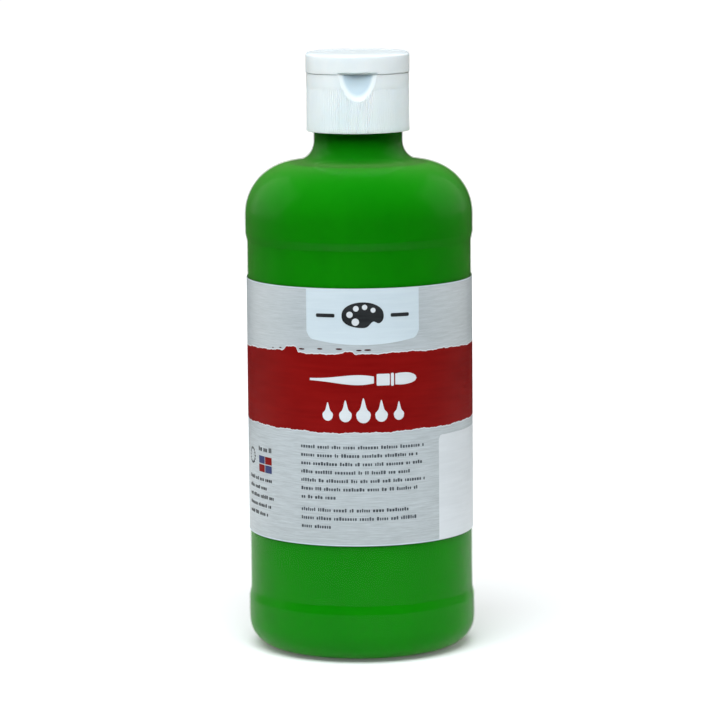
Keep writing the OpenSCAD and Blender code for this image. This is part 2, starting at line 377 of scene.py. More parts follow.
def clear_wall():
    """The outside of the bottle: natural plastic, see-through, hazier where it's seen aslant."""
    s = Surface("clear_wall")
    peel = s.bump(s.noise(0.12, detail=2.0), 0.05)
    peel = s.bump(s.noise(1.3, detail=1.0), 0.0025, peel)
    rough = s.ramp(s.noise(0.05, (1, 1, 0.4)), 0.3, 0.7, 0.15, 0.21)
    gloss = s.add("BsdfGlossy", Color=(1, 1, 1, 1), Roughness=rough, Normal=peel).outputs[0]
    see = s.add("BsdfTransparent", Color=(0.985, 0.99, 0.985, 1)).outputs[0]
    haze = s.add("BsdfDiffuse", Color=linear(160, 178, 124), Normal=peel).outputs[0]
    # A thin sheet reflects alike from both its sides, so its gloss goes by the slant alone
    aslant = s.add("LayerWeight", Blend=0.5, Normal=peel).outputs["Facing"]
    milk = s.math("MULTIPLY_ADD", s.math("POWER", aslant, 3.0), 0.25, 0.002)
    body = s.add("MixShader", i0=milk, i1=see, i2=haze).outputs[0]
    # The low ridge where the mould's halves met looks dark
    spot = s.add("SeparateXYZ", Vector=s.place())
    aside = s.math("MULTIPLY", spot.outputs[0], sin(PARTING_TURN))
    aside = s.math("ABSOLUTE", s.math("MULTIPLY_ADD", spot.outputs[1], cos(PARTING_TURN), aside))
    parting = s.ramp(aside, 0.12, 0.5, 0.6, 0.0)
    body = s.add("MixShader", i0=parting, i1=body,
                 i2=s.add("BsdfDiffuse", Color=linear(14, 62, 14)).outputs[0]).outputs[0]
    mirror = s.math("MULTIPLY_ADD", s.math("POWER", aslant, 5.0), 0.22, 0.006)
    return s.finish(s.add("MixShader", i0=mirror, i1=body, i2=gloss).outputs[0])


def inner_wall():
    """The inside of the bottle: wet with paint up to its level, and a little milky above that."""
    s = Surface("inner_wall")
    height = s.add("SeparateXYZ", Vector=s.place()).outputs[2]
    dry = s.ramp(height, PAINT_Z - 0.2, PAINT_Z + 0.2, 0.0, 0.14)
    see = s.add("BsdfTransparent", Color=(0.985, 0.99, 0.985, 1)).outputs[0]
    milk = s.add("BsdfDiffuse", Color=linear(205, 214, 203)).outputs[0]
    return s.finish(s.add("MixShader", i0=dry, i1=see, i2=milk).outputs[0])


def wet_paint():
    """Opaque green paint: faint clouds and streaks of pigment, painted shade by the neck and label.
    """
    s = Surface("wet_paint")
    clouds = s.ramp(s.noise(0.035, (1, 1, 0.5), 4.0), 0.3, 0.7, 0.0, 1.0)
    colour = s.blend(clouds, linear(6, 122, 2), linear(14, 131, 5))
    streaks = s.ramp(s.noise(0.3, (1, 1, 0.12), 3.0), 0.35, 0.75, 0.0, 0.25)
    colour = s.blend(streaks, colour, linear(6, 114, 3))
    spot = s.add("SeparateXYZ", Vector=s.place())
    x, y, height = spot.outputs
    # The closure keeps the light from the foot of the neck
    foot = s.ramp(s.length(x, y), NECK_SHADE_R - 0.5, NECK_SHADE_R, 0.45, 0.0)
    foot = s.math("MULTIPLY", foot, s.ramp(height, NECK_BASE_Z + 1.5, NECK_BASE_Z + 5, 1.0, 0.0))
    colour = s.blend(foot, colour, linear(3, 76, 4))
    # The label's edges shade the paint behind the wall
    shade = s.ramp(height, label_low.z - 0.9, label_low.z - 0.1, 0.0, 0.7)
    shade = s.math("MULTIPLY", shade, s.ramp(height, label_low.z, label_low.z + 0.1, 1.0, 0.0))
    above = s.ramp(height, label_high.z, label_high.z + 0.7, 0.4, 0.0)
    above = s.math("MULTIPLY", above, s.ramp(height, label_high.z - 0.1, label_high.z, 0.0, 1.0))
    shade = s.math("ADD", shade, above)
    colour = s.blend(shade, colour, linear(3, 70, 3))
    wet = s.bump(s.noise(0.2, detail=2.0), 0.05)
    return s.finish(s.principled(Base_Color=colour, Roughness=0.5, Specular_IOR_Level=0.02,
                                 Normal=wet))


def silver_film():
    """Printed film with a brushed silver ground: fine level streaks in colour, gloss and relief."""
    s = Surface("silver_film")
    fine = s.noise(3.0, (0.05, 0.05, 1), 4.0, 0.7)
    broad = s.noise(0.35, (0.06, 0.06, 1), 3.0)
    both = s.math("ADD", s.math("MULTIPLY", fine, 0.95), s.math("MULTIPLY", broad, 0.05))
    tone = s.ramp(both, 0.25, 0.73, 0.0, 1.0)
    colour = s.blend(tone, linear(164, 172, 176), linear(204, 212, 216))
    height = s.add("SeparateXYZ", Vector=s.place()).outputs[2]
    # Painted shade: the film is painted darker towards its top, where more light falls
    upper = s.ramp(height, label_high.z - 26, label_high.z - 12, 0.0, 0.4)
    colour = s.blend(upper, colour, linear(146, 152, 155))
    rough = s.ramp(fine, 0.3, 0.7, 0.42, 0.54)
    relief = s.bump(fine, 0.005)
    return s.finish(s.principled(Base_Color=colour, Metallic=0.08, Roughness=rough,
                                 Coat_Weight=0.15, Coat_Roughness=0.25, Normal=relief))


def ink(name, dark, light, gloss=0.4):
    """Printed ink: two near tones of one colour in level brush streaks."""
    s = Surface(name)
    fine = s.noise(0.9, (0.08, 0.08, 1), 4.0, 0.65)
    broad = s.noise(0.08, (0.5, 0.5, 1), 3.0)
    tone = s.math("ADD", s.math("MULTIPLY", fine, 0.5), s.math("MULTIPLY", broad, 0.5))
    colour = s.blend(s.ramp(tone, 0.38, 0.62, 0.0, 1.0), dark, light)
    rough = s.ramp(fine, 0.3, 0.7, gloss - 0.06, gloss + 0.08)
    return s.finish(s.principled(Base_Color=colour, Roughness=rough, Specular_IOR_Level=0.12,
                                 Normal=s.bump(fine, 0.003)))


def moulded_closure(name, scooped=False):
    """White polypropylene: satin, a little translucent, with a faint grain and flow marks."""
    s = Surface(name)
    grain = s.bump(s.noise(6.0, detail=2.0), 0.004)
    flow = s.ramp(s.noise(0.12, (1, 1, 0.35), 3.0), 0.35, 0.65, 0.0, 1.0)
    colour = s.blend(flow, linear(236, 245, 250), linear(242, 250, 254))
    # Painted shade: the lid's top, which faces the strong light from above, is painted greyer
    spot = s.add("SeparateXYZ", Vector=s.place())
    painted_top_shade = s.ramp(spot.outputs[2], LID_TOP_Z - 0.6, LID_TOP_Z - 0.3, 0.0, 1.0)
    colour = s.blend(painted_top_shade, colour, linear(200, 205, 207))
    if scooped:
        # The wall is thinner in the thumb scoop, which is painted bluer and darker as painted shade
        x, y = spot.outputs[0], spot.outputs[1]
        depth = s.ramp(s.length(x, y), SKIRT_R - 0.6, SKIRT_R - 0.28, 1.0, 0.0)
        front = s.ramp(y, -SEAT_R - 0.6, -SEAT_R - 0.2, 1.0, 0.0)
        colour = s.blend(s.math("MULTIPLY", depth, front), colour, linear(204, 222, 233))
    rough = s.ramp(s.noise(0.5, detail=3.0), 0.3, 0.7, 0.38, 0.5)
    return s.finish(s.principled(Base_Color=colour, Roughness=rough, Specular_IOR_Level=0.2,
                                 Subsurface_Weight=0.5, Subsurface_Radius=(1.5, 1.7, 1.9),
                                 Subsurface_Scale=MM, Normal=grain))


def washer_foam():
    """Closed-cell foam: pale, dull and finely pitted."""
    s = Surface("washer_foam")
    cells = s.add("TexVoronoi", Vector=s.place(), Scale=3.0).outputs["Distance"]
    colour = s.blend(s.ramp(cells, 0.0, 0.8, 0.0, 1.0), linear(214, 214, 204), linear(240, 240, 232))
    return s.finish(s.principled(Base_Color=colour, Roughness=0.8, Normal=s.bump(cells, 0.03)))


def studio_floor():
    """A plain white studio floor."""
    s = Surface("studio_floor")
    tone = s.ramp(s.noise(0.004, detail=2.0), 0.3, 0.7, 0.0, 1.0)
    colour = s.blend(tone, (0.76, 0.76, 0.76, 1), (0.78, 0.78, 0.78, 1))
    away = s.add("VectorMath", {"operation": "LENGTH"}, Vector=s.place()).outputs["Value"]
    glow = s.ramp(away, 150, 1500, 0.12, 1.0)
    return s.finish(s.principled(Base_Color=colour, Roughness=0.9, Specular_IOR_Level=0.1,
                                 Emission_Color=(1, 1, 1, 1), Emission_Strength=glow))


def dress(obj, *materials):
    for m in materials:
        obj.data.materials.append(m)


# ---------------------------------------------------------------- camera and studio

ROOM_LIGHT, SWEEP_LIGHT, CEILING_LIGHT = 0.32, 0.24, 0.75
NEAR_FLOOR_R, FAR_FLOOR_R = 0.30, 30


def add_camera():
    """The eye stands in front, a little above the bottle's middle, and leans by half a degree."""
    distance, height = 1161, 254.4
    pitch, roll, lens = radians(8.17), radians(-0.50), 191.55
    data = bpy.data.cameras.new("camera")
    data.lens = lens
    data.sensor_width = 36
    data.clip_start, data.clip_end = 0.01, 200
    camera = bpy.data.objects.new("camera", data)
    bpy.context.scene.collection.objects.link(camera)
    ahead = Vector((0, cos(pitch), -sin(pitch)))
    right, up = Vector((1, 0, 0)), Vector((0, sin(pitch), cos(pitch)))
    side = right * cos(roll) + up * sin(roll)
    top = up * cos(roll) - right * sin(roll)
    turn = Matrix((side, top, -ahead)).transposed().to_4x4()
    camera.matrix_world = Matrix.Translation((0, -distance * MM, height * MM)) @ turn
    bpy.context.scene.camera = camera


def add_softbox(name, place, size, power, colour, glossy=True):
    """A rectangular lamp, turned to the bottle's middle. Where glossy is false, no gloss shows it."""
    data = bpy.data.lights.new(name, "AREA")
    data.shape = "RECTANGLE"
    data.size, data.size_y = size
    data.energy = power
    data.color = colour
    lamp = bpy.data.objects.new(name, data)
    lamp.location = place
    lamp.rotation_euler = (Vector((0, 0, 0.09)) - Vector(place)).to_track_quat("-Z", "Y").to_euler()
    lamp.visible_glossy = glossy
    bpy.context.scene.collection.objects.link(lamp)


def add_sky():
    """A dim room as far as its light goes. The camera itself sees a plain white backdrop."""
    world = bpy.data.worlds.new("studio")
    world.use_nodes = True
    tree = world.node_tree
    way = tree.nodes.new("ShaderNodeSeparateXYZ")
    tree.links.new(tree.nodes.new("ShaderNodeTexCoord").outputs["Generated"], way.inputs[0])

    def ramp(value, low, high, to_low, to_high):
        n = tree.nodes.new("ShaderNodeMapRange")
        n.interpolation_type = "SMOOTHSTEP"
        tree.links.new(value, n.inputs[0])
        for k, v in enumerate((low, high, to_low, to_high)):
            n.inputs[k + 1].default_value = v
        return n.outputs[0]

    total = tree.nodes.new("ShaderNodeMath")
    tree.links.new(ramp(way.outputs["Y"], 0.6, 0.95, ROOM_LIGHT, SWEEP_LIGHT), total.inputs[0])
    tree.links.new(ramp(way.outputs["Z"], 0.1, 1.0, 0.0, CEILING_LIGHT), total.inputs[1])
    room = tree.nodes["Background"]
    tree.links.new(total.outputs[0], room.inputs["Strength"])
    backdrop = tree.nodes.new("ShaderNodeBackground")
    backdrop.inputs["Color"].default_value = (1, 1, 1, 1)
    seen = tree.nodes.new("ShaderNodeMixShader")
    tree.links.new(tree.nodes.new("ShaderNodeLightPath").outputs["Is Camera Ray"], seen.inputs[0])
    tree.links.new(room.outputs[0], seen.inputs[1])
    tree.links.new(backdrop.outputs[0], seen.inputs[2])
    tree.links.new(seen.outputs[0], tree.nodes["World Output"].inputs["Surface"])
    bpy.context.scene.world = world


def add_floor(name, inner_r, outer_r, lights):
    """A level ring of white floor, in metres; an inner radius of 0 makes a disc. It lights the object
    and shows in its gloss only where lights is true."""
    bm = bmesh.new()
    sides = 96
    if inner_r == 0:
        bmesh.ops.create_circle(bm, cap_ends=True, segments=sides, radius=outer_r)
    else:
        rims = [[bm.verts.new((r * cos(a), r * sin(a), 0)) for a in even_angles(sides)]
                for r in (inner_r, outer_r)]
        for i in range(sides):
            j = (i + 1) % sides
            bm.faces.new((rims[0][i], rims[1][i], rims[1][j], rims[0][j]))
    mesh = bpy.data.meshes.new(name)
    bm.to_mesh(mesh)
    bm.free()
    floor = bpy.data.objects.new(name, mesh)
    floor.visible_glossy = lights
    floor.visible_diffuse = lights
    bpy.context.scene.collection.objects.link(floor)
    dress(floor, floor_material)


def add_studio():
    """A white floor, a large soft key light above the front, a faint one behind and one each side."""
    view = bpy.context.scene.view_settings
    view.view_transform, view.look = "Standard", "None"
    add_sky()
    cool, warm = (0.95, 1.0, 1.03), (1.0, 0.97, 0.91)
    add_softbox("key_box", (-0.10, -0.62, 1.25), (1.3, 1.0), 29.8, cool, glossy=False)
    add_softbox("back_box", (0.10, 0.70, 1.05), (1.3, 0.8), 3.0, cool, glossy=False)
    add_softbox("left_box", (-1.05, 0.40, 0.60), (1.3, 1.1), 6.0, warm)
    add_softbox("right_box", (1.05, 0.40, 0.60), (1.3, 1.1), 5.5, warm)
    add_floor("near_floor", 0, NEAR_FLOOR_R, True)
    add_floor("far_floor", NEAR_FLOOR_R, FAR_FLOOR_R, False)


# ---------------------------------------------------------------- bottle and paint


def wall_outline(w):
    """Corners of the bottle's outside set in by w, from the middle of the base up to the neck."""
    return [
        (0, PUSH_UP + w, 0),
        (RAISED_R + w, PUSH_UP + w, RAISED_ROUND),
        (RING_INNER_R + w, w, RING_ROUND),
        (BUMPER_R - w, w, BASE_ROUND - w),
        (BUMPER_R - w, LOW_STEP_Z, STEP_ROUND),
        (PANEL_R - w, LOW_STEP_Z + STEP_H, STEP_ROUND),
        (PANEL_R - w, HIGH_STEP_Z, STEP_ROUND),
        (BUMPER_R - w, HIGH_STEP_Z + STEP_H, STEP_ROUND),
        (BUMPER_R - w, SHOULDER_Z - w, SHOULDER_ROUND - w),
        (NECK_R - w, NECK_BASE_Z - w, NECK_FILLET + w),
        (NECK_R - w, TAPER_Z - 0.4 * w, 0.25),
    ]


def bore_corner(w):
    """Where the inside of the wall, w under its outside, has tapered in to the bore."""
    slope = TAPER_H / (NECK_R - FINISH_R)
    return (BORE_R + SKIN - w, TAPER_Z - 0.4 * w + (NECK_R - BORE_R - SKIN) * slope, 0.3)


def body_spacing(z):
    """Rings lie closer in the neck, where the thread needs them."""
    return 0.22 if z > SKIRT_Z + 0.8 else 3.0


def make_bottle():
    outer = wall_outline(0) + [
        (FINISH_R, TAPER_Z + TAPER_H, 0.4),
        (FINISH_R, MOUTH_Z, 0.35),
        (BORE_R, MOUTH_Z, 0.3),
    ]
    inner = wall_outline(SKIN) + [bore_corner(SKIN), (BORE_R, MOUTH_Z - 1, 0)]
    loop = rounded(outer + inner[::-1], 5)
    mouth = max(range(len(loop)), key=lambda i: loop[i].y)
    outside = refine(loop[:mouth + 1], body_spacing)
    cavity = refine(loop[mouth:], lambda z: 4.0)[1:]
    parting = np.radians([-1.2, -0.5, -0.25, 0.25, 0.5, 1.2])
    right, left = pi / 2 - PARTING_TURN, 3 * pi / 2 - PARTING_TURN
    angles = np.sort(np.concatenate([even_angles(240), right + parting, left + parting]))

    def shape(i, a, r, z):
        radii = np.full(len(a), r)
        if i >= len(outside):
            return radii
        if z > SKIRT_Z + 0.8 and abs(r - FINISH_R) < 0.01:
            share = ridge(a, z, NECK_THREAD_Z, NECK_TURNS, NECK_ROOT_HALF, NECK_CREST_HALF)
            return radii + (CREST_R - FINISH_R) * share
        if r > NECK_R - 0.5 and z > 1.0:
            # The line where the mould's halves met, a low ridge down both sides
            aside = np.abs(np.abs(np.mod(a + PARTING_TURN + pi, 2 * pi) - pi) - pi / 2)
            radii = np.minimum(radii + 0.045 * np.exp(-((aside / radians(0.35)) ** 2)), BUMPER_R)
        return radii

    bottle = revolve("squeeze_bottle", outside + cavity, angles, shape, closed=False,
                     inner_from=len(outside))
    dress(bottle, clear_wall(), inner_wall())
    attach(bottle, "bottle_body")
    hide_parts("bottle")


def make_paint():
    under = SKIN + SKIN_GAP
    # The surface curves up where it wets the neck
    surface = [
        (BORE_R - SKIN_GAP, PAINT_Z, 0),
        (BORE_R - 0.9, PAINT_Z - 0.75, 0.6),
        (0, PAINT_Z - 0.8, 0),
    ]
    loop = refine(rounded(wall_outline(under) + [bore_corner(under)] + surface, 5), lambda z: 4.0)
    paint = revolve("green_paint", loop, even_angles(192), closed=False)
    dress(paint, wet_paint())
    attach(paint, "bottle_body")
    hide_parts("paint_fill")


# ---------------------------------------------------------------- label and its print


def front_angle(s):
    """The angle from the front of a place s millimetres round the label."""
    return s / LABEL_R


def slab(name, pieces, lift, thickness, material):
    """Thin curved slabs on the label. Each piece is (s values, low z, high z), all arrays in mm."""
    verts, faces = [], []
    for s_values, lows, highs in pieces:
        first = len(verts)
        for s, low, high in zip(s_values, lows, highs):
            a = front_angle(s)
            for r, z in ((lift, low), (lift + thickness, low),
                         (lift + thickness, high), (lift, high)):
                verts.append(((LABEL_R + r) * sin(a), -(LABEL_R + r) * cos(a), z))
        n = len(s_values)
        for i in range(n - 1):
            for k in range(4):
                a, b = first + 4 * i + k, first + 4 * i + (k + 1) % 4
                faces.append((a, b, b + 4, a + 4))
        end = first + 4 * (n - 1)
        faces.append((first + 3, first + 2, first + 1, first))
        faces.append((end, end + 1, end + 2, end + 3))
    obj = new_object(name, verts, faces, SLAB_SHARP)
    dress(obj, material)
    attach(obj, "bottle_body")


def bar(s0, s1, z0, z1, step=0.8, ends=0.35):
    """A bar with rounded ends, ready for slab(). ends is the rounding as a share of its height."""
    h = z1 - z0
    r = min(ends * h, (s1 - s0) / 2)
    count = max(2, int((s1 - s0) / step))
    s = sorted(set(np.round(np.concatenate([
        s0 + r * (1 - np.cos(np.linspace(0.12, pi / 2, 4))),
        s1 - r * (1 - np.cos(np.linspace(0.12, pi / 2, 4))),
        np.linspace(s0 + r, s1 - r, count)]), 5)))
    s = np.array(s)
    edge = np.minimum(s - s0, s1 - s)
    inset = np.where(edge < r, r - np.sqrt(np.maximum(0, r * r - (r - edge) ** 2)), 0)
    return s, z0 + inset, z1 - inset


def oval(s, z, rs, rz, count):
    """An ellipse, ready for slab()."""
    t = np.linspace(0.03, pi - 0.03, count)
    x = s - rs * np.cos(t)
    h = rz * np.sin(t)
    return x, z - h, z + h


def make_label():
    """One strip of film wound once round the panel, with its end glued over its start at the back."""
    overlap = radians(14)
    angles = np.linspace(-pi - overlap / 2, pi + overlap / 2, 401)
    low, high, soft = label_low.z, label_high.z, 0.03
    inner = LABEL_R - LABEL_T
    verts = []
    section = [(0, low + soft), (0, high - soft), (soft, high), (LABEL_T - soft, high),
               (LABEL_T, high - soft), (LABEL_T, low + soft), (LABEL_T - soft, low), (soft, low)]
    for a in angles:
        # The last stretch rises over the first by the film's own thickness
        rise = np.clip((a - (pi - overlap / 2 - radians(2.5))) / radians(2.5), 0, 1)
        lift = LABEL_T * 1.08 * rise * rise * (3 - 2 * rise)
        for r, z in section:
            verts.append(((inner + r + lift) * sin(a), -(inner + r + lift) * cos(a), z))
    label = new_object("label_film", verts, strip_faces(len(section), len(angles)), STRIP_SHARP)
    dress(label, silver_film())
    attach(label, "bottle_body")
    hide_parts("label")


def brushed_edge(s, seed):
    """Small waves of a brushed edge, in millimetres: long ones that are faint, and short scallops."""
    rng = np.random.default_rng(seed)
    out = np.zeros(len(s))
    for wave, size in ((47, 0.16), (19, 0.12), (7.3, 0.09), (3.1, 0.07), (1.3, 0.05)):
        out += size * np.sin(2 * pi * s / wave + rng.uniform(0, 2 * pi))
    return out


def step_between(s, s0, s1):
    """0 before s0, 1 after s1 and smooth between."""
    t = np.clip((s - s0) / (s1 - s0), 0, 1)
    return t * t * (3 - 2 * t)


def red_band():
    """The band's outline, right round the label: (s, lower edge, upper edge)."""
    s = np.arange(-PRINT_HALF_TURN, PRINT_HALF_TURN, 0.2)
    upper = BAND_HIGH_Z - 0.9 * step_between(-s, 24, 52) - 0.5 * step_between(s, 30, 52)
    upper = upper + brushed_edge(s, 4)
    # A tab of brush stroke on the left of the front, and lesser ones here and there
    for at, wide, tall in ((-22.4, 6.0, 1.5), (-3.6, 4.0, 0.7), (27.0, 4.0, 0.35), (70.0, 3.0, 1.2),
                           (-84.0, 4.2, 1.4)):
        rise = step_between(s, at - wide / 2, at - wide / 6)
        upper += tall * rise * step_between(-s, -at - wide / 2, -at - wide / 3)
    lower = BAND_LOW_Z + 0.7 * step_between(s, 10, 50) + 0.3 * step_between(-s, 20, 50)
    lower = lower + brushed_edge(s, 9)
    # Bristle marks where the stroke began, at the far left
    bristles = step_between(-s, 47, 49.5) * step_between(s, -58, -54)
    lower += bristles * 1.3 * np.sin(2 * pi * s / 1.15) ** 2
    return s, lower, upper


def spatter():
    """Small flat spots of red above the band's edge."""
    places = ((-29.6, 95.0, 0.7), (-26.3, 95.3, 1.0), (-18.2, 95.5, 2.0), (-12.2, 95.8, 1.7),
              (-6.3, 95.9, 2.0), (-0.3, 95.5, 1.7), (2.3, 95.6, 2.1), (58.0, 95.2, 1.6),
              (76.0, 95.6, 1.4), (-70.0, 95.3, 2.0), (-95.0, 95.3, 1.6))
    return [oval(s, z, wide / 2, 0.12 + 0.06 * wide, 9) for s, z, wide in places]


def make_prints():
    top, bottom = label_high.z, label_low.z
    base, over, skin = 0.012, 0.042, 0.012
    red = ink("red_ink", linear(122, 4, 4), linear(134, 11, 9))
    badge = ink("badge_ink", linear(200, 214, 222), linear(208, 221, 228), 0.42)
    white = ink("white_ink", linear(210, 215, 219), linear(218, 223, 227), 0.42)
    maroon = ink("maroon_ink", linear(58, 8, 10), linear(74, 12, 13))
    dark = ink("dark_ink", linear(34, 36, 38), linear(54, 56, 58), 0.45)
    grey = ink("grey_ink", linear(62, 67, 72), linear(84, 90, 96), 0.45)
    blue = ink("blue_ink", linear(52, 60, 104), linear(66, 74, 118), 0.45)

    # White badge that hangs from the label's upper edge
    half, drop = BADGE_HALF, BADGE_CORNER_Z - BADGE_FOOT_Z
    s = BADGE_S + np.concatenate([np.linspace(-half, -half + 2.5, 14)[:-1],
                                 np.linspace(-half + 2.5, half - 2.5, 40),
                                 np.linspace(half - 2.5, half, 14)[1:]])
    out = np.abs(s - BADGE_S) / half
    low = BADGE_FOOT_Z + drop * 0.5 * out ** 2
    low = low + drop * 0.5 * np.clip((out - 0.88) / 0.12, 0, 1) ** 2.4
    slab("print_badge", [(s, low, np.full(len(s), top - 0.05))], base, skin, badge)

    # Unprinted rims along both edges of the film
    s = np.linspace(-PRINT_HALF_TURN, PRINT_HALF_TURN, 300)
    rims = [(s, np.full(300, z), np.full(300, z + 0.3)) for z in (top - 0.34, bottom + 0.04)]
    slab("print_rims", rims, base - 0.006, skin, badge)

    # Red band with brushed edges over a slightly wider underprint
    s, lower, upper = red_band()
    slab("print_band_underprint", [(s, lower - 0.3, upper + 0.3)], base, skin, white)
    slab("print_red_band", [(s, lower, upper)], base + skin, skin, red)
    slab("print_spatter", spatter(), base, skin, maroon)

    # Plain white panel on the right
    s = np.linspace(PANEL_S, PANEL_END_S, 44)
    corner = 1.2 * (1 - np.sqrt(np.clip(1 - np.clip(1 - (s - PANEL_S) / 1.2, 0, 1) ** 2, 0, 1)))
    panel = [(s, np.full(44, bottom + 0.05), PANEL_TOP_Z - corner)]
    slab("print_blank_panel", panel, base, skin, white)

    # A paintbrush and a row of drops stand where a title would be
    title = brush_shape(EMBLEM_S, BRUSH_Z) + drop_row(EMBLEM_S, DROPS_Z)
    slab("print_brush_and_drops", title, over, skin, white)

    # A palette and two rules on the badge
    slab("print_palette", palette_shape(EMBLEM_S, PALETTE_Z), over, skin, dark)
    slab("print_palette_wells", palette_wells(EMBLEM_S, PALETTE_Z), over + skin, skin, white)

    slab("print_text_bars", text_bars(), base, skin, grey)
    slab("print_side_marks", side_marks(), base, skin, dark)
    slab("print_red_chips", [chip(0, 0), chip(1, 1)], base, skin, red)
    slab("print_blue_chips", [chip(0, 1), chip(1, 0)], base, skin, blue)
    make_back_prints(base, skin, grey, dark)


def brush_shape(s, z):
    """A paintbrush lying level: handle on the left, ferrule, and a pointed head on the right."""
    x = np.linspace(-16.4, 3.2, 40)
    t = (x + 16.4) / 19.6
    half = 0.35 + 1.15 * np.sin(pi * np.clip(t, 0, 1) ** 1.6 * 0.78) ** 1.2
    handle = (s + x, z - half, z + half)
    ferrule = bar(s + 4.0, s + 8.0, z - 1.75, z + 1.75, ends=0.1)
    ferrule_2 = bar(s + 8.35, s + 9.3, z - 1.95, z + 1.95, ends=0.1)
    x = np.linspace(9.7, 16.6, 24)
    t = (x - 9.7) / 6.9
    half = 0.06 + 2.9 * np.sqrt(np.clip(1 - t, 0, 1)) * (0.62 + 0.75 * t) * (1 - 0.15 * t)
    head = (s + x, z - half * 0.85, z + half * (0.9 + 0.1 * t))
    return [handle, ferrule, ferrule_2, head]


def drop_row(s, z):
    """Five drops of paint in a row, the middle one largest."""
    out = []
    for k in range(-2, 3):
        size = 2.75 - 0.35 * abs(k)
        t = np.linspace(-1, 1, 21)
        width = size * 0.8
        round_part = np.sqrt(np.clip(1 - t * t, 0, 1))
        low = z - 1.2 - round_part * size * 0.9
        tip = 1.3 * size * np.exp(-(t / 0.33) ** 2)
        high = z - 1.16 + round_part * (size * 0.55 + tip)
        out.append((s + k * 5.4 + t * width, low, high))
    return out


def palette_shape(s, z):
    """A painter's palette between two rules."""
    t = np.linspace(0.03, pi - 0.03, 41)
    x = -np.cos(t) * 6.3
    high = 4.0 * np.sin(t) ** 0.9
    low = 3.7 * np.sin(t) ** 0.8 - 1.5 * np.exp(-((x - 3.1) / 1.3) ** 2)
    rules = [bar(s - 14.2, s - 8.4, z - 0.55, z + 0.55), bar(s + 8.4, s + 14.2, z - 0.55, z + 0.55)]
    return [(s + x, z - low, z + high)] + rules


def palette_wells(s, z):
    places = ((-3.9, 0.3, 0.95), (-2.0, 2.1, 0.85), (0.6, 2.5, 0.8), (3.1, 1.6, 0.75),
              (-2.2, -1.9, 1.1))
    return [oval(s + x, z + y, r, r, 13) for x, y, r in places]


def words(rng, s0, s1, z, tall):
    """A line of print as plain marks: runs of small blocks, with a gap after each run."""
    out = []
    at, left_in_run = s0, rng.randint(2, 8)
    while at < s1 - 0.5:
        wide = rng.choice((0.42, 0.55, 0.68))
        rise = rng.choice((0, 0, 0, 0.3)) * tall
        out.append(bar(at, at + wide, z, z + tall + rise, 0.4, 0.2))
        left_in_run -= 1
        at += wide + (0.24 if left_in_run else 0.9)
        if left_in_run == 0:
            left_in_run = rng.randint(2, 9)
    return out


def text_bars():
    """Body print as plain marks: two paragraphs under the band."""
    rng = random.Random(5)
    tall = 0.85
    pieces = []
    for line, right in enumerate((20.3, 17.9, 19.7, 15.6, 20.8, 18.1, -7.4)):
        pieces += words(rng, TEXT_S, right, TEXT_Z - line * TEXT_PITCH, tall)
    for line, right in enumerate((14.7, 17.3, -9.2)):
        pieces += words(rng, TEXT_S, right, SECOND_TEXT_Z - line * TEXT_PITCH, tall)
    return pieces


def side_marks():
    """Small marks on the left: a caption, a ring and short lines."""
    rng = random.Random(8)
    pieces = words(rng, -38.4, -30.8, 62.5, 1.2)
    for k, right in enumerate((-30.4, -33.5, -29.6, -31.6, -32.7)):
        pieces += words(rng, -46.0, right, 53.4 - 2.65 * k, 0.9)
    return pieces + [oval(-43.6 + 2.2 * cos(a), 60.4 + 2.2 * sin(a), 0.4, 0.4, 7)
                     for a in even_angles(14)]


def chip(column, row):
    """One of a small block of colour chips."""
    s, z = CHIPS_S + CHIP_STEP_S * column, CHIPS_Z + CHIP_STEP_Z * row
    return bar(s, s + CHIP_W, z, z + CHIP_H, ends=0.05)


def make_back_prints(base, skin, grey, dark):
    """The side that the front view doesn't show: two blocks of marks and a row of round chips."""
    rng = random.Random(21)
    pieces = []
    for k in range(12):
        right = -54.0 - rng.uniform(0, 9)
        pieces += words(rng, -96.0, right, BACK_TEXT_Z - BACK_PITCH * k, 0.8)
    for k in range(6):
        right = 92.0 - rng.uniform(0, 8)
        pieces += words(rng, 64.0, right, BACK_TEXT_Z - BACK_PITCH * k, 0.8)
    slab("print_back_text", pieces, base, skin, grey)
    # Round mixing chips, small to large
    chips = [oval(67.0 + 6.2 * k, 44.5, 1.2 + 0.3 * k, 1.2 + 0.3 * k, 17) for k in range(4)]
    slab("print_back_chips", chips, base, skin, dark)


# ---------------------------------------------------------------- closure


def back_flat(radii, angles, flat, k):
    """Brings a ring's radii in to the flat at the back, with its edges rounded over k."""
    back = -np.cos(angles)
    reach = np.where(back > 0.3, flat / np.maximum(back, 0.3), 1e3)
    return soft_min(radii, reach, k)


def scoop(radii, angles, z):
    """Brings a ring's radii in to the thumb scoop at the front."""
    span = SCOOP_H + SCOOP_SINK
    barrel = (span ** 2 - SCOOP_SINK ** 2) / (2 * SCOOP_DEPTH) + SCOOP_DEPTH / 2
    reach = sqrt(barrel ** 2 - span ** 2)
    up = z - SEAM_Z - SCOOP_SINK
    front = np.cos(angles)
    limit = np.full(len(angles), 1e3)
    near = front > 0.75
    r = radii[near].copy()
    # The barrel's face lies deeper aside, by x, which goes by r. Four rounds settle them
    for _ in range(4):
        x = r * np.sin(angles[near])
        across = barrel - SCOOP_ACROSS_R + np.sqrt(SCOOP_ACROSS_R ** 2 - x * x)
        depth = np.sqrt(np.maximum(across ** 2 - up * up, 0.0))
        r = (SKIRT_R + reach - depth) / front[near]
    limit[near] = r
    # A low bead stands round the scoop's edge
    bead = 0.13 * np.exp(-((limit - radii - 0.14) / 0.22) ** 2)
    return soft_min(radii + bead, limit, 0.12)


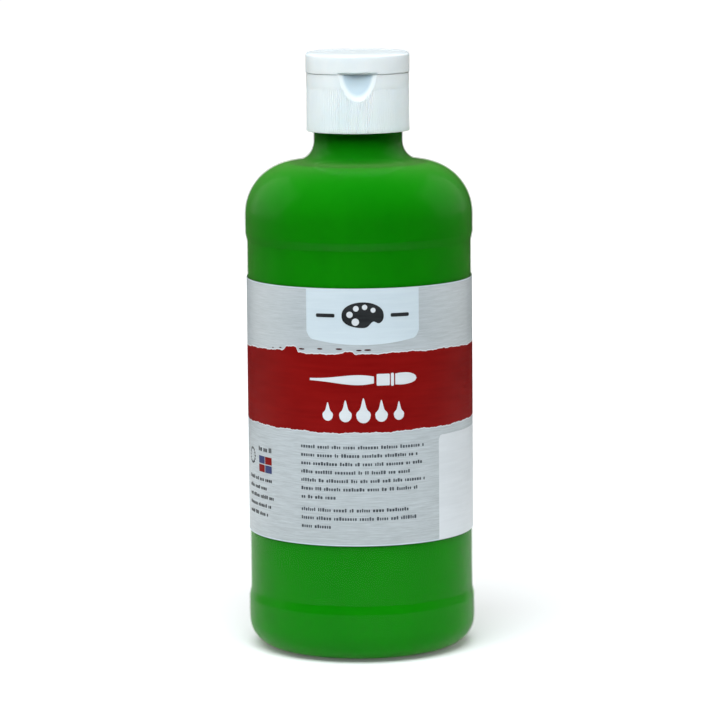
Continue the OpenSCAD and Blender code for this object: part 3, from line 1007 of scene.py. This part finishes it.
def make_cap_base():
    groove_top = SEAM_Z - PLAIN_BAND_H
    corners = [
        (BORE_SKIRT_R + 0.45, SKIRT_Z, 0.15),
        (SKIRT_R, SKIRT_Z, 0.2),
        (SKIRT_R, BASE_TOP_Z, 0.12),
        (COLLAR_R, BASE_TOP_Z, 0.12),
        (COLLAR_R, BASE_TOP_Z + COLLAR_H, 0.25),
        (COLLAR_R - COLLAR_WALL, BASE_TOP_Z + COLLAR_H, 0.25),
        (COLLAR_R - COLLAR_WALL, DECK_TOP_Z, 0.3),
        (SPOUT_R, DECK_TOP_Z, 0.3),
        (SPOUT_R, DECK_TOP_Z + SPOUT_H, 0.3),
        (ORIFICE_R, DECK_TOP_Z + SPOUT_H, 0.2),
        (ORIFICE_R, DECK_LOW_Z, 0.15),
        (SEAT_R, DECK_LOW_Z, 0.3),
        (SEAT_R, MOUTH_Z - 1.6, 0.12),
        (BORE_SKIRT_R, MOUTH_Z - 1.6, 0.3),
        (BORE_SKIRT_R, SKIRT_Z + 0.7, 0.3),
    ]
    loop = rounded(corners, 15)
    turn = min(range(len(loop)), key=lambda i: (round(loop[i].y, 4), -loop[i].x))
    loop = loop[turn:] + loop[:turn]
    rim = next(i for i, p in enumerate(loop) if p.x < SKIRT_R - 0.5 and p.y > SKIRT_Z + 5)
    # The wall's long straight stretch is split where the scoop begins, and is finer above that
    wall_top = next(i for i, p in enumerate(loop) if p.y > SEAM_Z - 1)
    split = Vector((SKIRT_R, SEAM_Z - SCOOP_H - 0.6))
    outer = refine(loop[:wall_top] + [split] + loop[wall_top:rim + 1],
                   lambda z: 0.16 if z > split.y else 1.2)
    rest = refine(loop[rim:] + [loop[0]], lambda z: 0.35 if z < MOUTH_Z - 1.6 else 1.2)[1:-1]
    columns = even_angles(GROOVES * 6)
    share = np.array([0.0, 0.0, 0.45, 1.0, 0.45, 0.0])

    def shape(i, a, r, z):
        radii = np.full(len(a), r)
        if i < len(outer) and r > COLLAR_R + 0.15:
            fine = len(a) == len(columns)
            fade = np.clip((groove_top - z) / 1.3, 0, 1)
            groove = np.tile(share, GROOVES) * GROOVE_DEPTH * fade if fine else 0.0
            flare = 0.07 * np.clip((SKIRT_Z + 3.0 - z) / 3.0, 0, 1)
            radii = scoop(radii - groove + flare, a, z)
            flat_low = SEAM_Z - FLAT_DROP - 0.4
            if z > flat_low:
                settle = np.clip((z - flat_low) / 0.35, 0, 1)
                flat = back_flat(radii, a, FLAT_Y, 0.12)
                radii = radii + (flat - radii) * settle
        elif i >= len(outer) and abs(r - BORE_SKIRT_R) < 0.01 and z < MOUTH_Z - 1.6:
            start = NECK_THREAD_Z - RIDGE_DROP
            share_in = ridge(a, z, start, CLOSURE_TURNS, CLOSURE_ROOT_HALF, CLOSURE_CREST_HALF)
            radii = radii - (BORE_SKIRT_R - CLOSURE_CREST_R) * share_in
        return radii

    coarse = range(len(outer), len(outer) + len(rest))
    cap = revolve("closure_base", outer + rest, columns, shape, coarse, 3)
    dress(cap, moulded_closure("scooped_closure", True))
    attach(cap, "closure")
    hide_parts("cap_base")


def make_lid():
    ceiling = LID_TOP_Z - DISH_T - LID_WALL
    pin_r = ORIFICE_R - PIN_GAP
    pin_low = DECK_TOP_Z + SPOUT_H - PIN_DIP
    ring_low = DECK_TOP_Z + LID_RING_GAP
    inner_r = LID_R - LID_WALL
    corners = [
        (0, LID_TOP_Z - DISH_T, 0),
        (DISH_R - 0.8, LID_TOP_Z - DISH_T, 0.5),
        (DISH_R, LID_TOP_Z, 0.5),
        (LID_R, LID_TOP_Z, LID_ROUND),
        (LID_R, LID_LOW_Z + 1.2, 0),
        (LID_R, LID_LOW_Z, 0.12),
        (inner_r, LID_LOW_Z, 0.2),
        (inner_r, ceiling, 0.8),
        (LID_RING_R, ceiling, 0.3),
        (LID_RING_R, ring_low, 0.2),
        (LID_RING_IN_R, ring_low, 0.2),
        (LID_RING_IN_R, ceiling, 0.3),
        (pin_r, ceiling, 0.3),
        (pin_r, pin_low + 0.6, 0.3),
        (pin_r - 0.3, pin_low, 0.15),
        (0, pin_low, 0),
    ]
    # Rings lie close together where the notch ends
    loop = refine(rounded(corners, 9), lambda z: 0.08 if 0.3 < z - LID_LOW_Z < 1.6 else 1.0)
    inside_from = next(i for i, p in enumerate(loop) if p.y < LID_LOW_Z + 0.01 and p.x < LID_R - 0.5)

    def shape(i, a, r, z):
        radii = np.full(len(a), r)
        if r < 6:
            return radii
        if i < inside_from:
            # A shallow thumb notch along the lower edge, over the scoop
            across = np.clip(1 - (r * np.sin(a) / NOTCH_HALF) ** 2, 0, 1) * (np.cos(a) > 0)
            depth = np.clip((LID_LOW_Z + NOTCH_H - z) / 0.15, 0, 1)
            return back_flat(radii - NOTCH_DEPTH * np.sqrt(across) * depth, a, FLAT_Y, 0.25)
        return back_flat(radii, a, FLAT_Y - LID_BACK_T, 0.2)

    lid = revolve("flip_lid", loop, even_angles(360), shape, closed=False)
    dress(lid, closure_material)
    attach(lid, "flip_lid")
    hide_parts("lid")


def make_washer():
    corners = [(WASHER_BORE_R, washer_low.z, 0.15), (washer_high.x, washer_low.z, 0.15),
               (washer_high.x, washer_high.z, 0.15), (WASHER_BORE_R, washer_high.z, 0.15)]
    washer = revolve("seal_ring", rounded(corners, 20), even_angles(160))
    dress(washer, washer_foam())
    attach(washer, "washer")
    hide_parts("seal_washer")


def make_film(name, cad_node, low, high, thin):
    """A film of the living hinge: thick at its ends, thin and rounded at the hinge line."""
    reach = (high.z - low.z) / 2
    half = (high.x - low.x) / 2
    middle = (low.x + high.x) / 2
    heights = np.concatenate([np.linspace(-reach, -0.6, 8)[:-1], np.linspace(-0.6, 0.6, 17),
                              np.linspace(0.6, reach, 8)[1:]])
    verts = []
    soft = 0.07
    for h in heights:
        neck = thin + (1 - thin) * min(1.0, (abs(h) / 0.7) ** 1.5)
        wide = half * (0.86 + 0.14 * min(1.0, abs(h) / 1.2))
        t = FILM_T / 2 * neck
        for x, y in ((-wide + soft, -t), (wide - soft, -t), (wide, -t + soft * neck),
                     (wide, t - soft * neck), (wide - soft, t), (-wide + soft, t),
                     (-wide, t - soft * neck), (-wide, -t + soft * neck)):
            verts.append((middle + x, HINGE_Y + y, SEAM_Z + h))
    film = new_object(name, verts, strip_faces(8, len(heights)), STRIP_SHARP)
    dress(film, closure_material)
    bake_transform(film)
    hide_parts(cad_node)


# ---------------------------------------------------------------- build

add_camera()
floor_material = studio_floor()
add_studio()
closure_material = moulded_closure("moulded_closure")
make_bottle()
make_paint()
make_label()
make_prints()
make_washer()
make_cap_base()
make_lid()
left_low, left_high = node_box("hinge_strip_left")
make_film("hinge_film_left", "hinge_strip_left", left_low, left_high, 0.55)
make_film("hinge_film_right", "hinge_strip_right", strip_low, strip_high, 0.55)
make_film("hinge_snap_band", "snap_band", band_low, band_high, 0.7)
